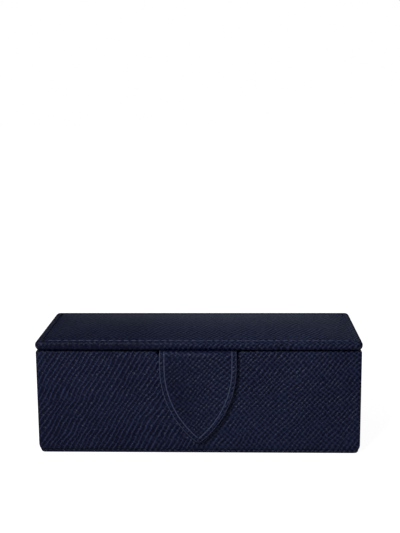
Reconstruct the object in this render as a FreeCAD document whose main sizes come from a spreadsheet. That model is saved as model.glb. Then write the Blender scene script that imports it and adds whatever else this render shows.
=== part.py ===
import FreeCAD, Part
import math
import os
import re

import Sketcher

# Leather jewellery case: a rigid box covered in leather, with a padded lid on a leather hinge, a pointed
# tab that closes over the front by magnets, and a suede interior with ring rolls and compartments.
# Millimetres. The origin is the centre of the underside, +X to the right, +Y to the back and +Z up.

Vector = FreeCAD.Vector

# Each driving size, written once.
SIZES = {
    "caseLength": (159.4, "case over its leather, left to right"),
    "caseDepth": (63.4, "case over its leather, front to back"),
    "rimTop": (52.2, "height of the case's rim"),
    "leather": (0.9, "outer leather"),
    "wallBoard": (2.4, "wall boards"),
    "cornerRound": (1.6, "upright outer corners of the case"),
    "rimRound": (0.8, "outer edge of the rim"),
    "footRound": (0.8, "lower outer edge of the wall leather"),
    "turnIn": (0.4, "leather pared thin where it turns in over the rim"),
    "turnInDepth": (9.0, "how far the turned-in leather reaches down"),
    "baseLeather": (0.8, "leather round the base board"),
    "baseBoard": (1.0, "base board"),
    "baseInset": (0.7, "how far the base stands in from the walls"),
    "baseRound": (0.9, "lower outer edge of the base"),
    "floorBoard": (2.0, "floor board between the walls"),
    "wallLining": (1.2, "suede-covered card on the walls"),
    "liningDrop": (3.0, "rim above the wall linings"),
    "floorFoam": (1.5, "foam under the floor suede"),
    "floorSuede": (0.8, "floor suede on its card"),
    "lidOverhang": (0.3, "lid past the case at the front and sides"),
    "lidGap": (0.3, "rim to the underside of the lid"),
    "lidThick": (4.6, "lid at its edge"),
    "lidCorner": (2.6, "upright corners of the lid"),
    "lidRoundTop": (1.8, "upper outer edge of the lid"),
    "lidRoundBottom": (2.3, "lower outer edge of the lid"),
    "boardRound": (0.6, "sanded edges of the lid board"),
    "turnUnder": (9.0, "leather turned under the lid"),
    "borderWidth": (3.1, "flat border round the padded top"),
    "grooveWidth": (0.7, "sewn groove inside the border"),
    "grooveDepth": (0.5, "sewn groove inside the border"),
    "crownRise": (2.4, "padded top above the border"),
    "foamSet": (2.0, "foam in from the sewn groove"),
    "stitchPitch": (3.7, "one stitch of the lid to the next"),
    "stitchLength": (2.8, "thread that shows in one stitch of the lid"),
    "tabStitchPitch": (3.4, "one stitch of the tab to the next"),
    "tabStitchLength": (2.6, "thread that shows in one stitch of the tab"),
    "threadRadius": (0.2, "sewing thread"),
    "threadClear": (0.03, "thread to the sides of its groove"),
    "hingeRadius": (0.5, "inside of the hinge fold"),
    "hingeStub": (0.6, "straight leather each side of the hinge fold"),
    "hingeFlap": (14.0, "hinge leather glued under the lid"),
    "hingeSuede": (0.4, "suede strip inside the hinge"),
    "hingeSuedeDrop": (12.0, "suede strip down the back board"),
    "hingeSuedeFlap": (6.0, "suede strip under the lid"),
    "backReturn": (6.0, "wall leather round the back corners"),
    "backSeam": (0.2, "open seam beside the back leather"),
    "cardClear": (1.0, "lid lining to the rim's inner face"),
    "lidSuede": (0.7, "suede pad under the lid"),
    "tabWidth": (37.6, "closing tab"),
    "tabSide": (5.4, "straight upper part of the tab's sides"),
    "tabTip": (5.8, "height of the tab's point"),
    "tabCore": (0.7, "stiffener inside the tab"),
    "tabBacking": (0.5, "leather behind the tab"),
    "tabClear": (0.3, "tab to the front of the case"),
    "foldRadius": (0.4, "inside of the tab's fold"),
    "foldStub": (0.6, "straight leather each side of the tab's fold"),
    "tabAnchor": (12.0, "tab leather glued under the lid"),
    "coreInset": (1.2, "stiffener in from the tab's edge"),
    "liningClear": (0.5, "tab's backing to the lid's lining"),
    "seamInset": (2.4, "tab seam in from the edge"),
    "seamWidth": (0.6, "tab seam groove"),
    "seamDepth": (0.25, "tab seam groove"),
    "notchSide": (0.8, "rim notch beside the tab"),
    "notchBelow": (0.3, "rim notch under the tab"),
    "magnetRadius": (4.5, "closing magnets"),
    "magnetClear": (0.05, "magnets in their seats"),
    "caseMagnet": (1.5, "magnet in the front board"),
    "magnetHeight": (20.0, "height of the magnets' centre"),
    "ringBay": (54.8, "length of the ring bay"),
    "divider": (2.4, "suede-covered divider"),
    "dividerTop": (38.0, "height of the dividers' upper edge"),
    "lapClear": (0.05, "dividers in each other's slots"),
    "riserHeight": (10.0, "foam block under the ring rolls"),
    "rollHeight": (19.0, "ring rolls"),
    "rollClear": (0.2, "ring rolls to the bay's walls"),
    "past": (1.0, "how far a cutting shape runs past the face that it cuts"),
}

# What follows from the driving sizes.
PLACES = {
    "boardLength": "caseLength - 2 * leather",
    "boardDepth": "caseDepth - 2 * leather",
    "boardTop": "rimTop - leather",
    "innerLength": "boardLength - 2 * wallBoard",
    "innerDepth": "boardDepth - 2 * wallBoard",
    "openLength": "innerLength - 2 * turnIn",
    "openDepth": "innerDepth - 2 * turnIn",
    "roomLength": "openLength - 2 * wallLining",
    "roomDepth": "openDepth - 2 * wallLining",
    "plinthTop": "baseLeather + baseBoard",
    "plinthLength": "caseLength - 2 * baseInset",
    "plinthDepth": "caseDepth - 2 * baseInset",
    "floorTop": "plinthTop + floorBoard",
    "roomFloor": "floorTop + floorFoam + floorSuede",
    "liningTop": "rimTop - liningDrop",
    "lidBottom": "rimTop + lidGap",
    "lidTop": "lidBottom + lidThick",
    "lidLength": "caseLength + 2 * lidOverhang",
    "lidDepth": "caseDepth + lidOverhang",
    "lidFront": "-(caseDepth / 2 + lidOverhang)",
    "lidMiddle": "-lidOverhang / 2",
    "seamSet": "borderWidth + grooveWidth",
    "crownLength": "lidLength - 2 * seamSet",
    "crownDepth": "lidDepth - 2 * seamSet",
    "crownAlong": "(crownLength * crownLength / 4 + crownRise * crownRise) / (2 * crownRise)",
    "crownAcross": "(crownDepth * crownDepth / 4 + crownRise * crownRise) / (2 * crownRise)",
    "hingeY": "caseDepth / 2 - leather - hingeRadius",
    "hingeZ": "lidBottom - leather - hingeRadius",
    "backRim": "hingeZ - hingeSuede",
    "backWidth": "caseLength - 2 * (backReturn + backSeam)",
    "hingeFrontEdge": "hingeY - hingeStub",
    "cardLength": "openLength - 2 * cardClear",
    "cardDepth": "openDepth - 2 * cardClear",
    "tabThick": "leather + tabCore + tabBacking",
    "tabBack": "-(caseDepth / 2 + tabClear)",
    "tabFront": "tabBack - tabThick",
    "foldY": "tabBack + foldRadius",
    "foldZ": "lidBottom - tabThick - foldRadius",
    "bladeTop": "foldZ - foldStub",
    "tabShoulder": "bladeTop - tabSide",
    "tabArc": "(tabWidth * tabWidth / 4 + (tabShoulder - tabTip) * (tabShoulder - tabTip)) / tabWidth",
    "notchFloor": "lidBottom - tabThick - notchBelow",
    "notchDepth": "rimTop - notchFloor",
    "notchHalf": "tabWidth / 2 + notchSide",
    "magnetSeat": "magnetRadius + magnetClear",
    "bayEnd": "-roomLength / 2 + ringBay",
    "pairStart": "bayEnd + divider",
    "pairLength": "roomLength / 2 - pairStart",
    "crossStart": "pairStart + (pairLength - divider) / 2",
    "dividerHeight": "dividerTop - roomFloor",
    "slotWidth": "divider + 2 * lapClear",
    "rollWidth": "(roomDepth - 2 * rollClear) / 4",
    "rollLength": "ringBay - 2 * rollClear",
}

ROLLS = 4
FLAT = 1e-6  # sizes under this count as nothing
ROUGH = 5.0  # starting length of a sketched line before its constraints set it
ALONG_X = FreeCAD.Rotation(Vector(0, 1, 0), Vector(0, 0, 1), Vector(1, 0, 0), "XYZ")
ALONG_X_FRONT = FreeCAD.Rotation(Vector(0, 0, 1), Vector(0, -1, 0), Vector(1, 0, 0), "XYZ")
ALONG_Y = FreeCAD.Rotation(Vector(1, 0, 0), -90)

doc = FreeCAD.newDocument("jewellery_case")
pieces = []


def make_sheets():
    sizes = doc.addObject("Spreadsheet::Sheet", "Sizes")
    places = doc.addObject("Spreadsheet::Sheet", "Places")
    for row, (alias, (value, note)) in enumerate(SIZES.items(), 1):
        sizes.set(f"A{row}", note)
        sizes.set(f"B{row}", str(value))
        sizes.setAlias(f"B{row}", alias)
    for row, (alias, text) in enumerate(PLACES.items(), 1):
        places.set(f"A{row}", alias)
        places.set(f"B{row}", "=" + linked(text, own_sheet=True))
        places.setAlias(f"B{row}", alias)
    doc.recompute()
    return sizes, places


def linked(text, own_sheet=False):
    """The formula with each size or place named as its sheet's cell."""

    def cell(match):
        word = match.group(0)
        if word in SIZES:
            return "Sizes." + word
        if word in PLACES:
            return word if own_sheet else "Places." + word
        return word

    return re.sub(r"[A-Za-z]\w*", cell, str(text))


def size_of(alias):
    return float((sizes if alias in SIZES else places).get(alias))


def bind(item, **formulas):
    """Ties properties to formulas; x, y and z are where the item stands."""
    for name, text in formulas.items():
        path = f".Placement.Base.{name}" if name in ("x", "y", "z") else name
        item.setExpression(path, linked(text))


def block(name, low, size):
    """A plain box from its lowest corner, used as a tool or a simple sheet."""
    box = doc.addObject("Part::Box", name)
    bind(box, x=low[0], y=low[1], z=low[2], Length=size[0], Width=size[1], Height=size[2])
    return box


def rod(name, centre, radius, length, turned, angle=360):
    """A cylinder from its first end, turned to lie along X or Y."""
    cylinder = doc.addObject("Part::Cylinder", name)
    cylinder.Angle = angle
    cylinder.Placement = FreeCAD.Placement(Vector(), turned)
    bind(cylinder, x=centre[0], y=centre[1], z=centre[2], Radius=radius, Height=length)
    return cylinder


def combine(kind, name, shapes):
    result = doc.addObject("Part::Multi" + kind, name)
    result.Shapes = shapes
    return result


def cut(name, base, tools):
    """The base less its tools, which are joined first where there are several."""
    result = doc.addObject("Part::Cut", name)
    result.Base = base
    result.Tool = tools[0] if len(tools) == 1 else combine("Fuse", name + "_tools", tools)
    return result


def keep(item, label):
    """Marks an object as a finished piece, to be written under that name."""
    item.Label = label
    pieces.append(item)
    return item


def sketch_on(body, plane, u, v, n):
    """A sketch on one of the body's own origin planes, moved to u, v in the plane and n along its normal."""
    support = next(f for f in body.Origin.OriginFeatures if f.Role == plane + "_Plane")
    sketch = body.newObject("Sketcher::SketchObject", body.Name + "_sketch")
    sketch.AttachmentSupport = [(support, "")]
    sketch.MapMode = "FlatFace"
    for axis, text in zip("xyz", (u, v, n)):
        sketch.setExpression(f".AttachmentOffset.Base.{axis}", linked(text))
    return sketch


def named_size(sketch, number, name, text):
    sketch.renameConstraint(number, name)
    sketch.setExpression("Constraints." + name, linked(text))


def draw_rectangle(sketch, width, height):
    corners = [Vector(0, 0, 0), Vector(ROUGH, 0, 0), Vector(ROUGH, ROUGH, 0), Vector(0, ROUGH, 0)]
    for i in range(4):
        sketch.addGeometry(Part.LineSegment(corners[i], corners[(i + 1) % 4]))
    for i in range(4):
        sketch.addConstraint(Sketcher.Constraint("Coincident", i, 2, (i + 1) % 4, 1))
    for i, kind in enumerate(("Horizontal", "Vertical", "Horizontal", "Vertical")):
        sketch.addConstraint(Sketcher.Constraint(kind, i))
    sketch.addConstraint(Sketcher.Constraint("Coincident", 0, 1, -1, 1))
    across = sketch.addConstraint(Sketcher.Constraint("DistanceX", 0, 1, 0, 2, ROUGH))
    up = sketch.addConstraint(Sketcher.Constraint("DistanceY", 1, 1, 1, 2, ROUGH))
    named_size(sketch, across, "width", width)
    named_size(sketch, up, "height", height)


def pad(body, sketch, length, towards_back=False):
    feature = body.newObject("PartDesign::Pad", body.Name + "_pad")
    feature.Profile = sketch
    feature.setExpression("Length", linked(length))
    feature.Reversed = towards_back
    body.Tip = feature
    return feature


def panel(name, plane, low, size):
    """A flat panel cut from sheet: a rectangle on an origin plane, padded from its lowest corner."""
    body = doc.addObject("PartDesign::Body", name)
    x, y, z = low
    across, deep, tall = size
    if plane == "XY":
        sketch = sketch_on(body, plane, x, y, z)
        draw_rectangle(sketch, across, deep)
        pad(body, sketch, tall)
    elif plane == "XZ":
        sketch = sketch_on(body, plane, x, z, f"-({y})")
        draw_rectangle(sketch, across, tall)
        pad(body, sketch, deep, towards_back=True)
    else:
        sketch = sketch_on(body, plane, y, z, x)
        draw_rectangle(sketch, deep, tall)
        pad(body, sketch, across)
    return body


def round_edges(body, name, radius, wanted):
    """Rounds the edges of the body that the test wants."""
    doc.recompute()
    base = body.Tip
    found = [f"Edge{i}" for i, e in enumerate(base.Shape.Edges, 1) if wanted(e)]
    feature = body.newObject("PartDesign::Fillet", name)
    feature.Base = (base, found)
    feature.setExpression("Radius", linked(radius))
    body.Tip = feature


def upright(edge):
    box = edge.BoundBox
    return box.ZLength > FLAT and box.XLength + box.YLength < FLAT


def level_at(alias):
    """A test for the level edges at a height that one of the sheets holds."""
    return lambda e: e.BoundBox.ZLength < FLAT and abs(e.BoundBox.ZMin - size_of(alias)) < FLAT


def make_base():
    skin = panel("base_skin", "XY", ("-plinthLength / 2", "-plinthDepth / 2", 0),
                 ("plinthLength", "plinthDepth", "plinthTop"))
    round_edges(skin, "base_corners", "cornerRound", upright)
    round_edges(skin, "base_foot", "baseRound", lambda e: e.BoundBox.ZMax < FLAT)
    board_low = ("-plinthLength / 2 + baseLeather", "-plinthDepth / 2 + baseLeather", "baseLeather")
    board_size = ("plinthLength - 2 * baseLeather", "plinthDepth - 2 * baseLeather", "baseBoard")
    keep(cut("base_cover", skin, [block("base_hollow", board_low, board_size)]), "base_leather")
    keep(panel("base_plate", "XY", board_low, board_size), "base_board")
    keep(panel("floor_plate", "XY", ("-innerLength / 2", "-innerDepth / 2", "plinthTop"),
               ("innerLength", "innerDepth", "floorBoard")), "floor_board")


def notch_tool(name, half, floor, low_y, deep):
    """The dip in the front rim: a flat floor with a rounded shoulder at each side, cut front to back."""
    body = doc.addObject("PartDesign::Body", name)
    sketch = sketch_on(body, "XZ", 0, floor, f"-({low_y})")
    radius = size_of("notchDepth")
    bottom = size_of("notchHalf")
    top = bottom + radius
    roof = 2 * radius
    sketch.addGeometry(Part.LineSegment(Vector(-bottom, 0, 0), Vector(bottom, 0, 0)))
    right = Part.Circle(Vector(top, 0, 0), Vector(0, 0, 1), radius)
    sketch.addGeometry(Part.ArcOfCircle(right, math.pi / 2, math.pi))
    sketch.addGeometry(Part.LineSegment(Vector(top, radius, 0), Vector(top, roof, 0)))
    sketch.addGeometry(Part.LineSegment(Vector(top, roof, 0), Vector(-top, roof, 0)))
    sketch.addGeometry(Part.LineSegment(Vector(-top, roof, 0), Vector(-top, radius, 0)))
    left = Part.Circle(Vector(-top, 0, 0), Vector(0, 0, 1), radius)
    sketch.addGeometry(Part.ArcOfCircle(left, 0, math.pi / 2))
    for first, end, second, start in ((0, 2, 1, 2), (1, 1, 2, 1), (2, 2, 3, 1), (3, 2, 4, 1), (4, 2, 5, 2),
                                      (5, 1, 0, 1)):
        sketch.addConstraint(Sketcher.Constraint("Coincident", first, end, second, start))
    for line in (0, 3):
        sketch.addConstraint(Sketcher.Constraint("Horizontal", line))
    for line in (2, 4):
        sketch.addConstraint(Sketcher.Constraint("Vertical", line))
    for arc in (1, 5):
        sketch.addConstraint(Sketcher.Constraint("PointOnObject", arc, 3, -1))
    sketch.addConstraint(Sketcher.Constraint("Symmetric", 0, 1, 0, 2, -1, 1))
    sketch.addConstraint(Sketcher.Constraint("Vertical", 1, 3, 1, 1))
    sketch.addConstraint(Sketcher.Constraint("Vertical", 5, 3, 5, 2))
    right = sketch.addConstraint(Sketcher.Constraint("Radius", 1, radius))
    named_size(sketch, right, "shoulder", "notchDepth")
    named_size(sketch, sketch.addConstraint(Sketcher.Constraint("Radius", 5, radius)), "shoulderLeft",
               "notchDepth")
    across = sketch.addConstraint(Sketcher.Constraint("DistanceX", 0, 1, 0, 2, 2 * bottom))
    named_size(sketch, across, "floorWidth", f"2 * ({half})")
    height = sketch.addConstraint(Sketcher.Constraint("DistanceY", 2, 1, 2, 2, radius))
    named_size(sketch, height, "headroom", "notchDepth")
    pad(body, sketch, deep, towards_back=True)
    return body


def make_walls():
    """Front and back boards run full length, and the side boards stand between them."""
    front = panel("front_plate", "XZ", ("-boardLength / 2", "-boardDepth / 2", "plinthTop"),
                  ("boardLength", "wallBoard", "boardTop - plinthTop"))
    notch = notch_tool("board_notch", "notchHalf + leather", "notchFloor - leather", "-boardDepth / 2 - past",
                       "wallBoard + 2 * past")
    seat = rod("magnet_seat", (0, "-boardDepth / 2", "magnetHeight"), "magnetSeat", "caseMagnet", ALONG_Y)
    keep(cut("front_wall", front, [notch, seat]), "front_board")
    keep(rod("magnet", (0, "-boardDepth / 2", "magnetHeight"), "magnetRadius", "caseMagnet", ALONG_Y),
         "case_magnet")
    keep(panel("back_plate", "XZ", ("-boardLength / 2", "boardDepth / 2 - wallBoard", "plinthTop"),
               ("boardLength", "wallBoard", "backRim - plinthTop")), "back_board")
    for label, low_x in (("left_board", "-boardLength / 2"), ("right_board", "boardLength / 2 - wallBoard")):
        keep(panel(label + "_plate", "YZ", (low_x, "-innerDepth / 2", "plinthTop"),
                   ("wallBoard", "innerDepth", "boardTop - plinthTop")), label)


def make_case_leather():
    """One wrap round the walls: over the rim, down inside, and a short way round the back corners."""
    outer = panel("wrap", "XY", ("-caseLength / 2", "-caseDepth / 2", "plinthTop"),
                  ("caseLength", "caseDepth", "rimTop - plinthTop"))
    round_edges(outer, "wrap_corners", "cornerRound", upright)
    round_edges(outer, "wrap_rim", "rimRound", level_at("rimTop"))
    round_edges(outer, "wrap_foot", "footRound", level_at("plinthTop"))
    boards = block("board_room", ("-boardLength / 2", "-boardDepth / 2", "plinthTop"),
                   ("boardLength", "boardDepth", "boardTop - plinthTop"))
    around_notch = notch_tool("leather_notch_bed", "notchHalf + leather", "notchFloor - leather",
                              "-boardDepth / 2 - past", "wallBoard + past")
    boards_less_notch = cut("board_room_notched", boards, [around_notch])
    opening = block("rim_opening", ("-openLength / 2", "-openDepth / 2", "plinthTop"),
                    ("openLength", "openDepth", "rimTop"))
    skin = cut("wrap_skin", outer, [boards_less_notch, opening])
    ring = block("turn_in_outer", ("-innerLength / 2", "-innerDepth / 2", "boardTop - turnInDepth"),
                 ("innerLength", "innerDepth", "turnInDepth"))
    turned = cut("turn_in", ring, [opening])
    whole = combine("Fuse", "wrap_whole", [skin, turned])
    notch = notch_tool("leather_notch", "notchHalf", "notchFloor", "-caseDepth / 2 - past",
                       "leather + wallBoard + turnIn + 2 * past")
    back = block("back_gap", ("-caseLength / 2 + backReturn", "openDepth / 2 - past", 0),
                 ("caseLength - 2 * backReturn", "caseDepth", "2 * rimTop"))
    back_corner = block("back_rim_relief", ("-caseLength / 2 - past", "openDepth / 2", "hingeZ + hingeRadius"),
                        ("caseLength + 2 * past", "caseDepth", "rimTop"))
    keep(cut("wrap_finished", whole, [notch, back, back_corner]), "case_leather")


def make_linings():
    tall = "liningTop - floorTop"
    keep(panel("front_card", "XZ", ("-openLength / 2", "-openDepth / 2", "floorTop"),
               ("openLength", "wallLining", tall)), "front_lining")
    keep(panel("back_card", "XZ", ("-openLength / 2", "openDepth / 2 - wallLining", "floorTop"),
               ("openLength", "wallLining", tall)), "back_lining")
    for label, low_x in (("left_lining", "-openLength / 2"), ("right_lining", "roomLength / 2")):
        keep(panel(label + "_card", "YZ", (low_x, "-roomDepth / 2", "floorTop"),
                   ("wallLining", "roomDepth", tall)), label)
    corner = ("-roomLength / 2", "-roomDepth / 2")
    room = ("roomLength", "roomDepth")
    keep(panel("floor_sponge", "XY", (*corner, "floorTop"), (*room, "floorFoam")), "floor_foam")
    keep(panel("floor_card", "XY", (*corner, "floorTop + floorFoam"), (*room, "floorSuede")), "floor_lining")


def make_dividers():
    """The ring bay's wall, and two dividers that cross by half-lap slots."""
    keep(panel("bay_wall", "YZ", ("bayEnd", "-roomDepth / 2", "roomFloor"),
               ("divider", "roomDepth", "dividerHeight")), "ring_divider")
    lap = "dividerHeight / 2 + lapClear"
    long_card = panel("long_card", "XZ", ("pairStart", "-divider / 2", "roomFloor"),
                      ("pairLength", "divider", "dividerHeight"))
    upper_slot = block("upper_slot", ("crossStart - lapClear", "-divider", f"dividerTop - ({lap})"),
                       ("slotWidth", "2 * divider", "dividerHeight"))
    keep(cut("long_slotted", long_card, [upper_slot]), "long_divider")
    cross_card = panel("cross_card", "YZ", ("crossStart", "-roomDepth / 2", "roomFloor"),
                       ("divider", "roomDepth", "dividerHeight"))
    lower_slot = block("lower_slot", ("crossStart - divider", "-slotWidth / 2", "roomFloor - past"),
                       ("3 * divider", "slotWidth", f"past + {lap}"))
    keep(cut("cross_slotted", cross_card, [lower_slot]), "cross_divider")


def draw_roll(sketch, width, height):
    """A roll's end: flat underneath, upright sides and a round top."""
    half = size_of("rollWidth") / 2
    side = size_of("rollHeight") - half
    sketch.addGeometry(Part.LineSegment(Vector(0, 0, 0), Vector(2 * half, 0, 0)))
    sketch.addGeometry(Part.LineSegment(Vector(2 * half, 0, 0), Vector(2 * half, side, 0)))
    top = Part.Circle(Vector(half, side, 0), Vector(0, 0, 1), half)
    sketch.addGeometry(Part.ArcOfCircle(top, 0, math.pi))
    sketch.addGeometry(Part.LineSegment(Vector(0, side, 0), Vector(0, 0, 0)))
    for first, end, second, start in ((0, 2, 1, 1), (3, 2, 0, 1)):
        sketch.addConstraint(Sketcher.Constraint("Coincident", first, end, second, start))
    sketch.addConstraint(Sketcher.Constraint("Tangent", 1, 2, 2, 1))
    sketch.addConstraint(Sketcher.Constraint("Tangent", 2, 2, 3, 1))
    sketch.addConstraint(Sketcher.Constraint("Coincident", 0, 1, -1, 1))
    sketch.addConstraint(Sketcher.Constraint("Horizontal", 0))
    sketch.addConstraint(Sketcher.Constraint("Vertical", 1))
    sketch.addConstraint(Sketcher.Constraint("Vertical", 3))
    across = sketch.addConstraint(Sketcher.Constraint("DistanceX", 0, 1, 0, 2, 2 * half))
    named_size(sketch, across, "width", width)
    up = sketch.addConstraint(Sketcher.Constraint("DistanceY", 1, 1, 1, 2, side))
    named_size(sketch, up, "side", f"{height} - ({width}) / 2")


def make_ring_rolls():
    """A foam block with a row of rolls on it, front to back, that grip rings between them."""
    low_x = "-roomLength / 2 + rollClear"
    keep(panel("riser", "XY", (low_x, "-roomDepth / 2 + rollClear", "roomFloor"),
               ("rollLength", "roomDepth - 2 * rollClear", "riserHeight")), "ring_riser")
    for i in range(ROLLS):
        body = doc.addObject("PartDesign::Body", f"roll_{i + 1}")
        low_y = f"-roomDepth / 2 + rollClear + {i} * rollWidth"
        sketch = sketch_on(body, "YZ", low_y, "roomFloor + riserHeight", low_x)
        draw_roll(sketch, "rollWidth", "rollHeight")
        pad(body, sketch, "rollLength")
        keep(body, f"ring_roll_{i + 1}")


def crown(name, inset, low, drop):
    """The padded top: a box under two crossing arched surfaces, lowered by the drop."""
    box = block(name + "_box", (f"-crownLength / 2 + {inset}", f"lidMiddle - crownDepth / 2 + {inset}", low),
                (f"crownLength - 2 * ({inset})", f"crownDepth - 2 * ({inset})", "lidThick + 2 * crownRise"))
    top = f"lidTop + crownRise - {drop}"
    across = rod(name + "_across", ("-lidLength / 2", "lidMiddle", top + " - crownAcross"), "crownAcross",
                 "lidLength", ALONG_X)
    along = rod(name + "_along", (0, "lidFront", top + " - crownAlong"), "crownAlong", "lidDepth", ALONG_Y)
    return combine("Common", name, [box, across, along])


def lid_room(inset, low, height):
    """The lowest corner and the size of a space that far in from the lid's edges."""
    corner = (f"-lidLength / 2 + {inset}", f"lidFront + {inset}", low)
    return corner, (f"lidLength - 2 * ({inset})", f"lidDepth - 2 * ({inset})", height)


def make_lid():
    """A board with foam on it, wrapped in leather that is turned under round a filling card."""
    board = panel("lid_plate", "XY", *lid_room("leather", "lidBottom + leather", "lidThick - 2 * leather"))
    round_edges(board, "lid_plate_corners", "lidCorner - leather", upright)
    round_edges(board, "lid_plate_edges", "boardRound", lambda e: e.BoundBox.ZLength < FLAT)
    keep(board, "lid_board")
    outer = panel("lid_cover", "XY", *lid_room("0", "lidBottom", "lidThick"))
    round_edges(outer, "lid_corners", "lidCorner", upright)
    round_edges(outer, "lid_upper_edge", "lidRoundTop", level_at("lidTop"))
    round_edges(outer, "lid_lower_edge", "lidRoundBottom", level_at("lidBottom"))
    solid = combine("Fuse", "lid_cover_whole", [outer, crown("crown", 0, "lidTop - leather", 0)])
    groove_outer = block("groove_outer", *lid_room("borderWidth", "lidTop - grooveDepth", "2 * grooveDepth"))
    groove_inner = block("groove_inner", *lid_room("seamSet", "lidBottom", "2 * lidThick"))
    groove = cut("groove", groove_outer, [groove_inner])
    foam_room = crown("foam_room", "foamSet", "lidTop - leather", "leather")
    window = block("turn_under_window",
                   *lid_room("(turnUnder + leather)", "lidBottom - past", "leather + past"))
    keep(cut("lid_cover_finished", solid, [board, foam_room, groove, window]), "lid_leather")
    keep(crown("foam_pad", "foamSet", "lidTop - leather", "leather"), "lid_foam")
    keep(panel("infill", "XY", *lid_room("(turnUnder + leather)", "lidBottom", "leather")), "lid_infill")


def make_lid_lining():
    """A suede pad on a card that covers the ends of the hinge leather and of the tab's anchor."""
    corner = ("-cardLength / 2", "-cardDepth / 2")
    card_low = "lidBottom - leather"
    flap = block("flap_room",
                 ("-backWidth / 2 - backSeam", "hingeFrontEdge - hingeFlap", card_low + " - past"),
                 ("backWidth + 2 * backSeam", "hingeFlap + past", "leather + 2 * past"))
    anchor = block("anchor_room", ("-tabWidth / 2", "foldY", card_low + " - past"),
                   ("tabWidth", "foldStub + tabAnchor", "leather + 2 * past"))
    card = panel("lid_card", "XY", (*corner, card_low), ("cardLength", "cardDepth", "leather"))
    keep(cut("lid_card_cut", card, [flap, anchor]), "lid_lining_card")
    suede = panel("lid_suede", "XY", (*corner, card_low + " - lidSuede"),
                  ("cardLength", "cardDepth", "lidSuede"))
    strip = block("strip_room",
                  ("-backWidth / 2", "hingeFrontEdge - hingeSuedeFlap", card_low + " - hingeSuede"),
                  ("backWidth", "hingeSuedeFlap + past", "hingeSuede + past"))
    keep(cut("lid_suede_cut", suede, [strip]), "lid_lining")


def make_hinge():
    """Leather from the back of the case, folded in over the back rim and glued under the lid."""
    half = "-backWidth / 2"
    flap_low = "lidBottom - leather"
    keep(panel("back_sheet", "XZ", (half, "caseDepth / 2 - leather", "plinthTop"),
               ("backWidth", "leather", "hingeZ - hingeStub - plinthTop")), "back_leather")
    outer = rod("hinge_outer", (half, "hingeY", "hingeZ"), "hingeRadius + leather", "backWidth", ALONG_X, 90)
    inner = rod("hinge_inner", (half, "hingeY", "hingeZ"), "hingeRadius", "backWidth", ALONG_X)
    bend = cut("hinge_bend", outer, [inner])
    down = block("hinge_down", (half, "caseDepth / 2 - leather", "hingeZ - hingeStub"),
                 ("backWidth", "leather", "hingeStub"))
    over = block("hinge_over", (half, "hingeFrontEdge", flap_low), ("backWidth", "hingeStub", "leather"))
    keep(combine("Fuse", "hinge_fold_whole", [bend, down, over]), "hinge_fold")
    keep(panel("flap_sheet", "XY", (half, "hingeFrontEdge - hingeFlap", flap_low),
               ("backWidth", "hingeFlap", "leather")), "hinge_flap")
    keep(panel("flap_suede", "XY", (half, "hingeFrontEdge - hingeSuedeFlap", flap_low + " - hingeSuede"),
               ("backWidth", "hingeSuedeFlap", "hingeSuede")), "hinge_lining_lid")
    top = block("rim_suede", (half, "innerDepth / 2 - turnIn", "backRim"),
                ("backWidth", "hingeY - innerDepth / 2 + turnIn", "hingeSuede"))
    side = block("wall_suede", (half, "innerDepth / 2 - turnIn", "hingeZ - hingeSuedeDrop"),
                 ("backWidth", "turnIn", "hingeSuedeDrop"))
    keep(combine("Fuse", "hinge_suede_whole", [top, side]), "hinge_lining_case")


def tab_layer(name, inset, front, thick, top):
    """A layer of the tab, in from its edge by the inset: straight sides, then two arcs to a point."""
    body = doc.addObject("PartDesign::Body", name)
    sketch = sketch_on(body, "XZ", 0, 0, f"-({front})")
    radius = size_of("tabArc")
    shoulder = size_of("tabShoulder")
    half = size_of("tabWidth") / 2
    centre = radius - half
    turn = math.acos(centre / radius)
    roof = shoulder + ROUGH
    right = Part.Circle(Vector(-centre, shoulder, 0), Vector(0, 0, 1), radius)
    left = Part.Circle(Vector(centre, shoulder, 0), Vector(0, 0, 1), radius)
    sketch.addGeometry(Part.LineSegment(Vector(-half, roof, 0), Vector(half, roof, 0)))
    sketch.addGeometry(Part.LineSegment(Vector(half, roof, 0), Vector(half, shoulder, 0)))
    sketch.addGeometry(Part.ArcOfCircle(right, -turn, 0))
    sketch.addGeometry(Part.ArcOfCircle(left, math.pi, math.pi + turn))
    sketch.addGeometry(Part.LineSegment(Vector(-half, shoulder, 0), Vector(-half, roof, 0)))
    for first, end, second, start in ((0, 2, 1, 1), (1, 2, 2, 2), (2, 1, 3, 2), (3, 1, 4, 1), (4, 2, 0, 1)):
        sketch.addConstraint(Sketcher.Constraint("Coincident", first, end, second, start))
    sketch.addConstraint(Sketcher.Constraint("Horizontal", 0))
    sketch.addConstraint(Sketcher.Constraint("Vertical", 1))
    sketch.addConstraint(Sketcher.Constraint("Vertical", 4))
    sketch.addConstraint(Sketcher.Constraint("Horizontal", 2, 3, 1, 2))
    sketch.addConstraint(Sketcher.Constraint("Horizontal", 3, 3, 4, 1))
    sketch.addConstraint(Sketcher.Constraint("Symmetric", 2, 3, 3, 3, -2))
    for kind, picked, start, label, text in (
        ("Radius", (2,), radius, "taper", f"tabArc - ({inset})"),
        ("Radius", (3,), radius, "taperLeft", f"tabArc - ({inset})"),
        ("DistanceX", (2, 3, 3, 3), 2 * centre, "centres", "2 * tabArc - tabWidth"),
        ("DistanceY", (-1, 1, 2, 3), shoulder, "shoulder", "tabShoulder"),
        ("DistanceY", (1, 2, 1, 1), ROUGH, "side", f"({top}) - tabShoulder"),
    ):
        named_size(sketch, sketch.addConstraint(Sketcher.Constraint(kind, *picked, start)), label, text)
    pad(body, sketch, thick, towards_back=True)
    return body


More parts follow.
